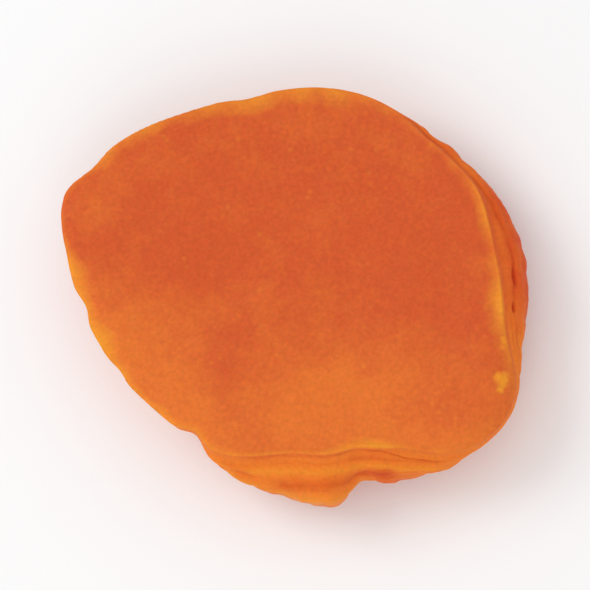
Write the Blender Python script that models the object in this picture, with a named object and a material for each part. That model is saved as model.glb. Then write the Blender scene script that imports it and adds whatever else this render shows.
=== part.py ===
"""One dried apricot half, pitted and lying on its skin with the cut side up.

The half is one solid: a smooth sheet of gelled flesh, framed by the thin lip where the fruit was
cut, in a skin that has shrunk into folds along the rim and a net of puckers underneath.

Units are metres and +Z is up. The plane Z = 0 is what the half lies on, and the Z axis runs
through the middle of its outline. +X runs from the pointed stem end to the round end.
"""

import math

import bmesh
import bpy
import numpy as np
from mathutils import Vector, noise

MM = 0.001

# Driving dimensions
HALF_LENGTH = 22.0 * MM      # middle of the outline to the round end
THICKNESS = 8.0 * MM         # resting plane to the middle of the cut face
CONTACT_RADIUS = 5.5 * MM    # the flat spot that the half lies on
CONTACT_BLEND = 4.0 * MM     # the puckers come back over this width round it
GRID_CELLS = 31              # mesh cells along each side of the starting cube

# The outline of the skin seen from above: degrees from +X, share of HALF_LENGTH
OUTLINE = [
    (0, 0.966), (20, 0.932), (40, 0.882), (60, 0.883), (80, 0.875), (100, 0.862),
    (120, 0.902), (140, 1.008), (157, 1.090), (172, 0.993), (190, 0.899), (210, 0.828),
    (230, 0.795), (250, 0.858), (268, 0.893), (281, 0.950), (298, 0.942), (308, 1.027),
    (319, 1.077), (330, 1.076), (343, 0.993),
]
# Small bites out of the rim, and swellings where the depth is below 0: degrees from +X, half
# width in degrees, depth, share that the lip follows
NICKS = [
    (31, 4.0, -0.15 * MM, 0.0), (40, 5.0, -0.34 * MM, 0.0), (52, 5.5, -0.28 * MM, 0.0),
    (104, 9.0, 0.30 * MM, 1.0), (149, 8.0, 0.60 * MM, 1.0), (185, 6.0, 0.45 * MM, 1.0),
    (206, 6.0, 0.22 * MM, 1.0), (237, 8.0, 0.75 * MM, 1.0), (287, 8.5, 1.90 * MM, 0.0),
]
# How far the lip stands inside that outline: degrees from +X, distance
LIP_INSET = [
    (0, 2.35 * MM), (12, 2.2 * MM), (26, 1.4 * MM), (40, 1.2 * MM), (50, 1.15 * MM),
    (60, 0.7 * MM), (70, 0.4 * MM), (80, 0.3 * MM), (105, 0.2 * MM), (157, 0.1 * MM),
    (195, 0.1 * MM), (215, 0.1 * MM), (235, 0.3 * MM), (250, 1.6 * MM), (262, 2.8 * MM),
    (276, 3.95 * MM), (284, 4.1 * MM), (290, 3.7 * MM), (297, 2.7 * MM), (304, 2.4 * MM),
    (312, 1.0 * MM), (320, 0.4 * MM), (330, 0.5 * MM), (339, 1.2 * MM), (348, 1.85 * MM),
]
# How high the lip stands over the flesh, or how far the edge rolls down: degrees from +X, height
LIP_HEIGHT = [
    (0, 0.32 * MM), (25, 0.28 * MM), (48, 0.08 * MM), (75, -0.08 * MM), (110, -0.12 * MM),
    (150, -0.20 * MM), (200, -0.35 * MM), (235, -0.28 * MM), (260, 0.18 * MM),
    (284, 0.26 * MM), (298, 0.05 * MM), (308, -0.8 * MM), (318, -1.2 * MM), (331, -1.2 * MM),
    (341, -0.4 * MM), (350, 0.18 * MM),
]
# How far the skin draws in below the lip, where the half is thin-edged: degrees from +X, distance
UNDERCUT = [
    (0, 0.0), (30, 0.2 * MM), (60, 1.2 * MM), (90, 1.8 * MM), (125, 2.2 * MM), (160, 2.6 * MM),
    (190, 2.6 * MM), (215, 2.4 * MM), (240, 1.2 * MM), (258, 0.2 * MM), (285, 0.0),
    (300, 0.3 * MM), (316, 1.3 * MM), (331, 1.1 * MM), (345, 0.2 * MM),
]
LIP_WIDTH = 0.6 * MM         # foot to crest where the lip stands up
ROLL_WIDTH = 3.0 * MM        # the same where the edge rolls down
UPRIGHT = 0.15 * MM          # the lip has its own width from this height up
ROLLED = -0.20 * MM          # and the roll has its full width from this height down

# The section from the middle of the cut face, over the rim, to the middle of the underside.
# Stations are degrees down from the top of the starting ball.
CUT_SECTION = [              # station, share of the way to the foot of the lip
    (0, 0.0), (12, 0.24), (26, 0.50), (42, 0.80), (53, 1.0),
]
LIP_SECTION = [              # station, share of the way from foot to crest
    (57, 0.5), (60, 1.0),
]
LIP_STATION = LIP_SECTION[-1][0]
SIDE_SECTION = [             # station, share of the way to the outline, of the undercut, of the level
    (60, 0.0, 0.0, 1.0), (64, 0.22, 0.04, 0.935), (72, 0.72, 0.24, 0.83), (82, 0.97, 0.62, 0.65),
    (92, 1.0, 1.0, 0.46),
]
UNDER_SECTION = [            # station, share of the outline, distance inside, of the undercut, of the level
    (104, 1.0, 1.0 * MM, 1.15, 0.265), (118, 1.0, 3.8 * MM, 0.80, 0.125),
    (138, 0.60, 0.0, 0.20, 0.048), (160, 0.30, 0.0, 0.0, -0.010), (180, 0.0, 0.0, 0.0, -0.025),
]

# Cut face
FACE_TILT = (0.012, -0.030)  # rise per metre along X and Y
FACE_DISH = 0.50 * MM        # the middle lies this far below the foot of the lip
PIT_HOLLOW = 0.30 * MM       # what is left of the stone's hollow
PIT_SIZE = (10.0 * MM, 6.5 * MM)
PIT_BLEND = (1.25, 0.45)     # shares of PIT_SIZE between which the hollow sinks
FACE_SWELL = 0.38 * MM       # slow waves of the flesh
FACE_SWELL_SIZE = 9.0 * MM

# Folds that follow the rim
CREASE_LEVEL = 0.62          # share of a fold that lies below the plain skin
FOLD_PITCH = 2.3 * MM        # from one fold to the next
FOLD_DEPTH = 0.70 * MM
FOLD_START = (0.3 * MM, 1.6 * MM)
FOLD_REACH = (8.5 * MM, 3.0 * MM)    # folds die out between these distances down the skin
FOLD_DRIFT = 0.55            # pitches that a fold wanders
FOLD_DRIFT_SIZE = 7.0 * MM
FOLD_LEAST = 0.35            # share of the depth left where the skin is taut
FOLD_PATCH_SIZE = 11.0 * MM
FOLD_PATCH_RANGE = (-0.45, 0.30)
# Share of a fold's height that is left beside the rim: degrees from +X, share
FOLD_NEAR = [
    (0, 0.35), (30, 0.45), (60, 0.70), (90, 1.0), (235, 1.0), (258, 0.30), (280, 0.20),
    (305, 0.20), (325, 0.60), (345, 0.35),
]
FOLD_NEAR_REACH = (3.0 * MM, 6.0 * MM)    # the whole height comes back between these distances

# Small pleats that cross the folds
PLEAT_COUNT = 46
PLEAT_DEPTH = 0.10 * MM
PLEAT_START = (1.0 * MM, 3.0 * MM)
PLEAT_REACH = (12.0 * MM, 7.0 * MM)
PLEAT_WANDER = 1.6
PLEAT_WANDER_SIZE = 5.0 * MM
PLEAT_SLANT = 9.0 * MM       # run of skin over which a pleat leans by one radian

# Net of puckers underneath
PUCKER_SIZE = 3.4 * MM
PUCKER_DEPTH = 0.50 * MM
PUCKER_START = (3.5 * MM, 9.0 * MM)
PUCKER_GAIN = 2.2            # how soon a pucker swells to its full height
PUCKER_SHAPE = 0.7           # power that rounds the puckers and keeps the creases narrow
PUCKER_LEVEL = 0.6           # share of a pucker that lies below the plain skin
PUCKER_RAGGED = 0.9 * MM
PUCKER_RAGGED_SIZE = 2.4 * MM

RIM_CALM = 1.2 * MM          # all wrinkles fade over this distance towards the lip

FLESH_COLOUR = (0.69, 0.13, 0.03, 1.0)
FLESH_ROUGHNESS = 0.42


def smooth_through(at, values, x):
    """Reads, at each x, a smooth curve through values at the stations in at.

    Each station has one value, or one value for every x."""
    at = np.asarray(at, float)
    values = np.asarray(values, float)
    if values.ndim == 1:
        values = np.repeat(values[:, None], len(x), axis=1)
    slope = np.gradient(values, at, axis=0)
    row = np.clip(np.searchsorted(at, x, side="right") - 1, 0, len(at) - 2)
    column = np.arange(len(x))
    span = at[row + 1] - at[row]
    t = (x - at[row]) / span
    start = values[row, column]
    end = values[row + 1, column]
    leave = slope[row, column] * span
    arrive = slope[row + 1, column] * span
    return (
        (2 * t**3 - 3 * t**2 + 1) * start
        + (t**3 - 2 * t**2 + t) * leave
        + (3 * t**2 - 2 * t**3) * end
        + (t**3 - t**2) * arrive
    )


def round_the_rim(pairs, degrees):
    """Reads (degrees, value) pairs as a smooth curve that closes on itself."""
    around = [(a - 360, v) for a, v in pairs] + pairs + [(a + 360, v) for a, v in pairs]
    return smooth_through([a for a, _ in around], [v for _, v in around], degrees)


def fade(x, start, end):
    """0 before start and 1 after end, with a soft ramp between. It falls where start is the larger."""
    t = np.clip((x - start) / (end - start), 0, 1)
    return t * t * (3 - 2 * t)


def noise_at(points, size, seed):
    """Smooth noise from -1 to 1 at each point, with features about size across."""
    shift = Vector((17.3, 5.1, 9.7)) * seed
    return np.array([noise.noise(Vector(p) / size + shift) for p in points])


def ball_mesh(name, cells):
    """A cube cut into a grid and blown up to a unit ball, whose faces stay nearly square."""
    cage = bmesh.new()
    bmesh.ops.create_cube(cage, size=2.0)
    bmesh.ops.subdivide_edges(cage, edges=cage.edges[:], cuts=cells - 1, use_grid_fill=True)
    for vert in cage.verts:
        vert.co = Vector([math.tan(c * math.pi / 4) for c in vert.co]).normalized()
    mesh = bpy.data.meshes.new(name)
    cage.to_mesh(mesh)
    cage.free()
    return mesh


def read_points(mesh):
    points = np.empty(len(mesh.vertices) * 3, np.float32)
    mesh.vertices.foreach_get("co", points)
    return points.reshape(-1, 3).astype(float)


def write_points(mesh, points):
    mesh.vertices.foreach_set("co", points.astype(np.float32).ravel())
    mesh.update()


def outward(mesh):
    normals = np.empty(len(mesh.vertices) * 3, np.float32)
    mesh.vertex_normals.foreach_get("vector", normals)
    return normals.reshape(-1, 3).astype(float)


def rim_lines(degrees):
    """Distances from the middle to the skin's outline and to the crest of the lip, with their nicks."""
    edge = round_the_rim(OUTLINE, degrees) * HALF_LENGTH
    lip = edge - round_the_rim(LIP_INSET, degrees)
    for centre, half_width, depth, share in NICKS:
        away = np.abs((degrees - centre + 180) % 360 - 180)
        bite = depth * fade(away, half_width, 0)
        edge -= bite
        lip -= bite * share
    return edge, lip


def flesh_height(x, y):
    """Height of the cut face: a shallow dish with the ghost of the stone's hollow."""
    reach = np.hypot(x, y) / HALF_LENGTH
    flat = np.column_stack([x, y, np.zeros_like(x)])
    height = THICKNESS + FACE_TILT[0] * x + FACE_TILT[1] * y
    height += FACE_DISH * (np.clip(reach, 0, 1) ** 3)
    height -= PIT_HOLLOW * fade(np.hypot(x / PIT_SIZE[0], y / PIT_SIZE[1]), *PIT_BLEND)
    return height + FACE_SWELL * noise_at(flat, FACE_SWELL_SIZE, 1)


def cut_face(down, turn, lip, raised):
    """Distance from the middle and height of the cut face, out to the crest of the lip."""
    rolled = fade(raised, UPRIGHT, ROLLED)
    foot = lip - LIP_WIDTH - (ROLL_WIDTH - LIP_WIDTH) * rolled
    stations = [at for at, _ in CUT_SECTION + LIP_SECTION]
    rows = [share * foot for _, share in CUT_SECTION]
    rows += [foot + share * (lip - foot) for _, share in LIP_SECTION]
    across = smooth_through(stations, rows, np.clip(down, 0, LIP_STATION))
    height = flesh_height(across * np.cos(turn), across * np.sin(turn))
    t = np.clip((across - foot) / (lip - foot), 0, 1)
    # An upright lip has a soft crest, and a rolled edge falls ever more steeply
    bend = t * t * (1 + 2 * (1 - rolled) * (1 - t))
    return across, height + raised * bend


def skin(down, lip, edge, undercut, lip_top):
    """Distance from the middle and height of the skin, from the lip to the middle underneath."""
    stations = [row[0] for row in SIDE_SECTION + UNDER_SECTION]
    rows = [lip + out * (edge - lip) - drawn * undercut for _, out, drawn, _ in SIDE_SECTION]
    rows += [
        share * edge - inside - drawn * undercut for _, share, inside, drawn, _ in UNDER_SECTION
    ]
    levels = [row[-1] * lip_top for row in SIDE_SECTION + UNDER_SECTION]
    at = np.clip(down, LIP_STATION, 180)
    return smooth_through(stations, rows, at), smooth_through(stations, levels, at)


def plain_body(ball):
    """The half without its wrinkles. Returns its points, and how far down the skin each one lies."""
    down = np.degrees(np.arccos(np.clip(ball[:, 2], -1, 1)))
    turn = np.arctan2(ball[:, 1], ball[:, 0])
    degrees = np.degrees(turn) % 360
    edge, lip = rim_lines(degrees)
    raised = round_the_rim(LIP_HEIGHT, degrees)
    undercut = round_the_rim(UNDERCUT, degrees)
    lip_top = flesh_height(lip * np.cos(turn), lip * np.sin(turn)) + raised

    cut_across, cut_height = cut_face(down, turn, lip, raised)
    skin_across, skin_height = skin(down, lip, edge, undercut, lip_top)
    on_skin = down > LIP_STATION
    across = np.where(on_skin, skin_across, cut_across)
    height = np.where(on_skin, skin_height, cut_height)
    run = np.where(on_skin, np.hypot(lip - skin_across, lip_top - skin_height), 0)
    return np.column_stack([across * np.cos(turn), across * np.sin(turn), height]), run


def folds(points, run):
    """Folds that follow the rim, deep where the skin hangs loose and shallow where it is taut."""
    drift = FOLD_DRIFT * noise_at(points, FOLD_DRIFT_SIZE, 2)
    loose = fade(noise_at(points, FOLD_PATCH_SIZE, 3), *FOLD_PATCH_RANGE)
    wave = np.abs(np.sin(math.pi * (run / FOLD_PITCH + drift))) - CREASE_LEVEL
    depth = FOLD_DEPTH * (FOLD_LEAST + (1 - FOLD_LEAST) * loose)
    near = round_the_rim(FOLD_NEAR, np.degrees(np.arctan2(points[:, 1], points[:, 0])) % 360)
    depth *= near + (1 - near) * fade(run, *FOLD_NEAR_REACH)
    return wave * depth * fade(run, *FOLD_START) * fade(run, *FOLD_REACH)


def pleats(points, run):
    """Short pleats that run down the skin and cross the folds."""
    turn = np.arctan2(points[:, 1], points[:, 0])
    lean = PLEAT_WANDER * noise_at(points, PLEAT_WANDER_SIZE, 4) + run / PLEAT_SLANT
    wave = np.abs(np.sin(PLEAT_COUNT / 2 * turn + lean)) - CREASE_LEVEL
    return wave * PLEAT_DEPTH * fade(run, *PLEAT_START) * fade(run, *PLEAT_REACH)


def puckers(points, run):
    """A ragged net of narrow creases with rounded puckers between them."""
    ragged = points + PUCKER_RAGGED * noise_at(points, PUCKER_RAGGED_SIZE, 5)[:, None]
    net = np.abs(noise_at(ragged, PUCKER_SIZE, 6)) * PUCKER_GAIN
    swell = np.minimum(net, 1) ** PUCKER_SHAPE - PUCKER_LEVEL
    return swell * PUCKER_DEPTH * fade(run, *PUCKER_START)


def apricot_half(name):
    """The whole half as one closed mesh, flat where it lies."""
    mesh = ball_mesh(name, GRID_CELLS)
    points, run = plain_body(read_points(mesh))
    write_points(mesh, points)
    from_middle = np.hypot(points[:, 0], points[:, 1])
    free = fade(from_middle, CONTACT_RADIUS, CONTACT_RADIUS + CONTACT_BLEND)
    free *= fade(run, 0, RIM_CALM)
    relief = (folds(points, run) + pleats(points, run) + puckers(points, run)) * free
    points += outward(mesh) * relief[:, None]
    points[:, :2] -= (points[:, :2].max(axis=0) + points[:, :2].min(axis=0)) / 2
    points[:, 2] = np.maximum(points[:, 2], 0)
    write_points(mesh, points)
    mesh.shade_smooth()
    return mesh


def flesh_material(name):
    """Gelled flesh: deep orange, a little waxy."""
    material = bpy.data.materials.new(name)
    material.use_nodes = True
    shader = material.node_tree.nodes["Principled BSDF"]
    shader.inputs["Base Color"].default_value = FLESH_COLOUR
    shader.inputs["Roughness"].default_value = FLESH_ROUGHNESS
    shader.inputs["Metallic"].default_value = 0.0
    material.diffuse_color = FLESH_COLOUR
    return material


def main():
    for old in list(bpy.data.objects):
        bpy.data.objects.remove(old, do_unlink=True)
    fruit = bpy.data.collections.new("dried_apricot_half")
    bpy.context.scene.collection.children.link(fruit)
    half = bpy.data.objects.new("apricot_half", apricot_half("apricot_half"))
    half.data.materials.append(flesh_material("dried_flesh"))
    fruit.objects.link(half)


main()
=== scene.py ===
"""The looks of one dried apricot half that lies on its skin: gelled flesh, a thin translucent lip
and a skin shrunk into folds and puckers. Everything is in metres, +Z up, in the frame of the solid."""

import math

import bmesh
import bpy
import numpy as np
from bpy.props import FloatProperty, FloatVectorProperty, IntProperty, PointerProperty
from bpy.types import Operator, Panel, PropertyGroup
from mathutils import Matrix, Vector, noise


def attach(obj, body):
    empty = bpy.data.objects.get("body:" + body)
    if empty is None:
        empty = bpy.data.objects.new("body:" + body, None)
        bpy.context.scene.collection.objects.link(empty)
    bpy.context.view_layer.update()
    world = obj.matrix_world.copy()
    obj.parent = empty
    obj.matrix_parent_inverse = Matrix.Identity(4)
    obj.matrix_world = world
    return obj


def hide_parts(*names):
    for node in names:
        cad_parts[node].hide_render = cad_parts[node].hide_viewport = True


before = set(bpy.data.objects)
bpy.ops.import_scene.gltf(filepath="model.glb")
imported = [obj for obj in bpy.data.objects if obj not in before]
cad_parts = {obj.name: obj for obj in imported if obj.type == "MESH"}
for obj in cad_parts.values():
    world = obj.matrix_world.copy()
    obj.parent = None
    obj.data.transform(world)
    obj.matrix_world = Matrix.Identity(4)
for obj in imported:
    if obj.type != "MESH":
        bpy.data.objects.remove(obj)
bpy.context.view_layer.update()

bl_info = {
    "name": "Dried apricot half",
    "version": (1, 0, 0),
    "blender": (4, 5, 0),
    "location": "3D View > Sidebar > Apricot",
    "description": "Builds a dried apricot half with its flesh, lip and puckered skin",
    "category": "Object",
}

MM = 0.001
NODE = "apricot_half"

# The outline of the skin seen from above: degrees from +X, share of the half length
OUTLINE = [
    (0, 0.966), (20, 0.932), (40, 0.882), (60, 0.883), (80, 0.875), (100, 0.862),
    (120, 0.902), (140, 1.008), (157, 1.090), (172, 0.993), (190, 0.899), (210, 0.828),
    (230, 0.795), (250, 0.858), (268, 0.893), (281, 0.950), (298, 0.942), (308, 1.027),
    (319, 1.077), (330, 1.076), (343, 0.993),
]
# Small bites out of the rim, and swellings where the depth is below 0: degrees from +X, half
# width in degrees, depth, share that the lip follows
NICKS = [
    (31, 4.0, -0.15 * MM, 0.0), (40, 5.0, -0.34 * MM, 0.0), (52, 5.5, -0.28 * MM, 0.0),
    (104, 9.0, 0.30 * MM, 1.0), (149, 8.0, 0.60 * MM, 1.0), (185, 6.0, 0.45 * MM, 1.0),
    (206, 6.0, 0.22 * MM, 1.0), (237, 8.0, 0.75 * MM, 1.0), (287, 8.5, 1.90 * MM, 0.0),
]
# How far the lip stands inside that outline: degrees from +X, distance
LIP_INSET = [
    (0, 2.35 * MM), (12, 2.2 * MM), (26, 1.4 * MM), (40, 1.2 * MM), (50, 1.15 * MM),
    (60, 0.7 * MM), (70, 0.4 * MM), (80, 0.3 * MM), (105, 0.2 * MM), (157, 0.1 * MM),
    (195, 0.1 * MM), (215, 0.1 * MM), (235, 0.3 * MM), (250, 1.6 * MM), (262, 2.8 * MM),
    (276, 3.95 * MM), (284, 4.1 * MM), (290, 3.7 * MM), (297, 2.7 * MM), (304, 2.4 * MM),
    (312, 1.0 * MM), (320, 0.4 * MM), (330, 0.5 * MM), (339, 1.2 * MM), (348, 1.85 * MM),
]
# How high the lip stands over the flesh, or how far the edge rolls down: degrees from +X, height
LIP_HEIGHT = [
    (0, 0.32 * MM), (25, 0.28 * MM), (48, 0.08 * MM), (75, -0.08 * MM), (110, -0.12 * MM),
    (150, -0.20 * MM), (200, -0.35 * MM), (235, -0.28 * MM), (260, 0.18 * MM),
    (284, 0.26 * MM), (298, 0.05 * MM), (308, -0.8 * MM), (318, -1.2 * MM), (331, -1.2 * MM),
    (341, -0.4 * MM), (350, 0.18 * MM),
]
# How far the skin draws in below the lip, where the half is thin-edged: degrees from +X, distance
UNDERCUT = [
    (0, 0.0), (30, 0.2 * MM), (60, 1.2 * MM), (90, 1.8 * MM), (125, 2.2 * MM), (160, 2.6 * MM),
    (190, 2.6 * MM), (215, 2.4 * MM), (240, 1.2 * MM), (258, 0.2 * MM), (285, 0.0),
    (300, 0.3 * MM), (316, 1.3 * MM), (331, 1.1 * MM), (345, 0.2 * MM),
]
LIP_WIDTH = 0.6 * MM         # foot to crest where the lip stands up
ROLL_WIDTH = 3.0 * MM        # the same where the edge rolls down
UPRIGHT = 0.15 * MM          # the lip has its own width from this height up
ROLLED = -0.20 * MM          # and the roll has its full width from this height down

# The section from the middle of the cut face, over the rim, to the middle of the underside.
# Stations are degrees down from the top of the starting ball.
# Cut face: station, share of the way to the foot of the lip
CUT_SECTION = [(0, 0.0), (12, 0.24), (26, 0.50), (42, 0.80), (53, 1.0)]
# Lip: station, share of the way from its foot to its crest
LIP_SECTION = [(57, 0.5), (60, 1.0)]
LIP_STATION = LIP_SECTION[-1][0]
# Side: station, share of the way to the outline, share of the undercut, share of the lip's height
SIDE_SECTION = [
    (60, 0.0, 0.0, 1.0), (64, 0.22, 0.04, 0.935), (72, 0.72, 0.24, 0.83), (82, 0.97, 0.62, 0.65),
    (92, 1.0, 1.0, 0.46),
]
# Underside: station, share of the outline's distance, how far inside that, share of the
# undercut, share of the lip's height
UNDER_SECTION = [
    (104, 1.0, 1.0 * MM, 1.15, 0.265), (118, 1.0, 3.8 * MM, 0.80, 0.125),
    (138, 0.60, 0.0, 0.20, 0.048), (160, 0.30, 0.0, 0.0, -0.010), (180, 0.0, 0.0, 0.0, -0.025),
]

# Cut face
FACE_TILT = (0.012, -0.030)  # rise per metre along X and Y
FACE_DISH = 0.50 * MM        # how far the middle lies below the rim
PIT_HOLLOW = 0.30 * MM       # what is left of the stone's hollow
PIT_SIZE = (10.0 * MM, 6.5 * MM)
PIT_BLEND = (1.25, 0.45)     # shares of PIT_SIZE between which the hollow sinks
FACE_SWELL = 0.38 * MM       # slow waves of the flesh
FACE_SWELL_SIZE = 9.0 * MM

# Folds that follow the rim
CREASE_LEVEL = 0.62          # share of a fold that lies below the plain skin
FOLD_START = (0.3 * MM, 1.6 * MM)
FOLD_REACH = (8.5 * MM, 3.0 * MM)    # folds die out between these distances down the skin
FOLD_DRIFT = 0.55            # pitches that a fold wanders
FOLD_DRIFT_SIZE = 7.0 * MM
FOLD_LEAST = 0.35            # share of the depth left where the skin is taut
FOLD_PATCH_SIZE = 11.0 * MM
FOLD_PATCH_RANGE = (-0.45, 0.30)
# Share of a fold's height that is left beside the rim: degrees from +X, share
FOLD_NEAR = [
    (0, 0.35), (30, 0.45), (60, 0.70), (90, 1.0), (235, 1.0), (258, 0.30), (280, 0.20),
    (305, 0.20), (325, 0.60), (345, 0.35),
]
FOLD_NEAR_REACH = (3.0 * MM, 6.0 * MM)    # the whole height comes back between these distances

# Small pleats that cross the folds
PLEAT_COUNT = 46
PLEAT_START = (1.0 * MM, 3.0 * MM)
PLEAT_REACH = (12.0 * MM, 7.0 * MM)
PLEAT_WANDER = 1.6
PLEAT_WANDER_SIZE = 5.0 * MM
PLEAT_SLANT = 9.0 * MM       # skin over which a pleat shifts by one radian of its wave

# Net of puckers underneath
PUCKER_START = (3.5 * MM, 9.0 * MM)
PUCKER_GAIN = 2.2            # how soon a pucker swells to its full height
PUCKER_SHAPE = 0.7           # power that rounds the puckers and keeps the creases narrow
PUCKER_LEVEL = 0.6           # share of a pucker that lies below the plain skin
PUCKER_RAGGED = 0.9 * MM
PUCKER_RAGGED_SIZE = 2.4 * MM

RIM_CALM = 1.2 * MM          # all wrinkles fade over this distance towards the lip

# Painted glow of the light that comes through the thin edge: degrees from +X, how far in it reaches,
# strength
GLOW = [
    (0, 1.4 * MM, 0.43), (6, 1.3 * MM, 0.36), (12, 1.4 * MM, 0.62), (20, 1.1 * MM, 0.64),
    (37, 1.2 * MM, 0.26), (46, 1.2 * MM, 0.18), (54, 1.2 * MM, 0.16), (62, 1.6 * MM, 0.30),
    (72, 2.3 * MM, 0.50), (88, 2.1 * MM, 0.68), (107, 2.1 * MM, 0.64), (125, 1.7 * MM, 0.56),
    (145, 1.8 * MM, 0.42), (158, 1.0 * MM, 0.30), (166, 0.7 * MM, 0.35), (171, 1.4 * MM, 0.75),
    (177, 2.5 * MM, 0.85), (183, 1.2 * MM, 0.75), (187, 1.1 * MM, 0.75), (196, 2.4 * MM, 0.95),
    (204, 1.3 * MM, 0.85), (215, 1.0 * MM, 0.75), (240, 1.1 * MM, 0.60), (252, 0.6 * MM, 0.35),
    (265, 0.6 * MM, 0.25), (281, 0.7 * MM, 0.38), (290, 1.3 * MM, 0.60), (297, 1.1 * MM, 0.90),
    (304, 0.8 * MM, 0.30), (312, 1.8 * MM, 0.22), (333, 1.5 * MM, 0.22), (341, 1.9 * MM, 0.60),
    (349, 2.2 * MM, 0.82),
]
GLOW_LEAST = 0.1 * MM        # the reach is never less
GLOW_STOP = 4.0              # how much sooner the glow ends down the skin than in the flesh
GLOW_FALL = 1.35             # power of its fall

# Where the flesh is redder (below 0) or paler (above 0) than round about: X, Y, half sizes, change
FLESH_PATCHES = [
    (-5.6 * MM, -6.2 * MM, 4.5 * MM, 8.0 * MM, -0.50),
    (14.0 * MM, -11.8 * MM, 7.0 * MM, 4.0 * MM, -0.42),
    (-18.5 * MM, 10.0 * MM, 5.0 * MM, 4.0 * MM, 0.35),
    (1.0 * MM, 11.5 * MM, 10.0 * MM, 7.0 * MM, -0.22),
    (4.5 * MM, -10.5 * MM, 5.0 * MM, 5.0 * MM, 0.35),
]
PATCH_BORDER = (1.0, 0.1)    # shares of the half sizes between which a patch comes in

# Scraps of paler tissue, torn open beside the lip: X, Y, half sizes along X and Y
TORN = [
    (19.4 * MM, -9.25 * MM, 0.60 * MM, 0.95 * MM), (19.7 * MM, -5.6 * MM, 0.16 * MM, 0.60 * MM),
]
TORN_BORDER = (1.10, 0.70)   # shares of the half sizes between which a scrap comes in
TORN_RAGGED = 0.8            # how far its border strays, in half sizes
TORN_RAGGED_SIZE = 0.5 * MM
TORN_LEVEL = (4.0 * MM, 5.5 * MM)    # heights between which scraps come in

# Creases near the rim, and ridges where the depth is below 0: depth, half width, then pairs of
# degrees from +X and way down the skin
CREASES = [
    (0.16 * MM, 0.45 * MM, [(-8.5, 1.6 * MM), (-3.4, 1.8 * MM), (5.1, 2.05 * MM), (11, 1.7 * MM)]),
    (0.13 * MM, 0.45 * MM, [(8, 1.95 * MM), (16.5, 1.35 * MM), (26, 0.9 * MM), (34, 0.7 * MM),
                            (41, 0.8 * MM), (46, 0.55 * MM), (53, 0.6 * MM), (61, 0.5 * MM)]),
    (0.14 * MM, 0.90 * MM, [(-27, 2.1 * MM), (-20, 2.0 * MM), (-16, 1.9 * MM), (-10, 1.8 * MM)]),
    (0.15 * MM, 0.26 * MM, [(254, 0.35 * MM), (265, 0.30 * MM), (274, 0.30 * MM),
                            (282, 0.40 * MM), (290, 0.45 * MM), (297, 0.6 * MM), (301, 1.35 * MM),
                            (304, 1.5 * MM), (311, 1.3 * MM)]),
    (0.05 * MM, 0.25 * MM, [(293, 0.5 * MM), (304, 0.45 * MM), (310, 0.5 * MM)]),
    (0.06 * MM, 0.25 * MM, [(260, 1.0 * MM), (273, 1.0 * MM), (282, 1.15 * MM), (290, 1.3 * MM)]),
    (-0.17 * MM, 0.85 * MM, [(254, 1.6 * MM), (262, 1.7 * MM), (271, 1.85 * MM), (281, 1.75 * MM),
                             (286, 2.0 * MM), (295, 2.1 * MM), (301, 2.6 * MM), (309, 2.5 * MM)]),
    (0.13 * MM, 1.60 * MM, [(262, 3.4 * MM), (272, 3.2 * MM), (280, 3.0 * MM), (287, 3.5 * MM),
                            (294, 3.4 * MM), (299, 3.3 * MM)]),
    (-0.16 * MM, 1.30 * MM, [(243, 1.2 * MM), (250, 2.2 * MM), (254, 3.3 * MM), (259, 3.7 * MM),
                             (264, 4.5 * MM), (271, 4.9 * MM), (280, 4.6 * MM), (287, 5.0 * MM),
                             (293, 5.0 * MM)]),
]
CREASE_END = 5.0             # degrees over which a crease runs out at each end
CREASE_WANDER = 0.12 * MM    # how far it strays from its line
CREASE_WANDER_SIZE = 1.6 * MM
CREASE_RAGGED = 0.25         # by what share its depth comes and goes
CREASE_RAGGED_SIZE = 0.9 * MM
# Places where a crease gapes: degrees from +X, half width in degrees, way down the skin,
# half gap, depth
POCKETS = [
    (-0.6, 4.2, 1.85 * MM, 0.34 * MM, 0.32 * MM), (-9.2, 2.4, 1.55 * MM, 0.30 * MM, 0.28 * MM),
]
POCKET_BORDER = (1.0, 0.3)   # shares of the half sizes between which a pocket sinks
SHADE_DEPTH = 0.21 * MM      # a crease this deep has its whole painted shade; a ridge this high, its whole painted highlight
FOLD_SHADE = (-0.15, -0.50)  # shares of a fold's height between which its crease takes its painted shade
PUCKER_SHADE = (-0.20, -0.55)
PUCKER_SHADE_SHARE = 0.5     # a pucker's crease takes this share of the painted shade
NOISE_SHIFT = (17.3, 5.1, 9.7)       # what keeps one pattern of noise apart from the next

# Relief that the nodes raise. Scales of noise are in features per metre, and four numbers are two
# places or values followed by what the pattern has at each.
NOISE_SPREAD = (0.30, 0.70)  # values of a noise that are spread over a pattern's whole range
GRAIN_STIR = (0.9, 1.1)      # scale and size, in grains, of the noise that moves the bumps about
GRAIN_SMOOTHNESS = 0.35
GRAIN_SHAPE = (0.0, 0.85, 1.0, -0.6)           # distances from a bump's middle, heights
GRAIN_CLOUD = (190.0, 2.0)                     # scale and detail of its deep and shallow patches
GRAIN_SPREAD = (0.35, 0.65, 0.30, 1.0)
GRAIN_RUN = (2.0 * MM, 8.0 * MM, 0.40, 1.0)    # distances down the skin, strengths
RIDGE_START = (0.5 * MM, 1.5 * MM)
RIDGE_RUN = (8.0 * MM, 3.5 * MM, 0.0, 1.4)
RIDGES_DOWN = 1100.0         # fine ridges in a metre down the skin
RUCK_START = (1.5 * MM, 5.0 * MM)
RUCK_RUN = (13.0 * MM, 7.0 * MM, 0.15, 1.0)
RUCKS_DOWN = 330.0
FACE_CLOUD = (620.0, 3.0)
FACE_START = (0.1 * MM, 1.2 * MM)    # distances from the lip between which the face roughens
SCRAP_CLOUD = (1700.0, 2.0)
SCRAP_LEVEL = 0.35           # value of the noise where a torn scrap is level with the flesh
SCRAP_HEIGHT = 0.55 * MM
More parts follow.
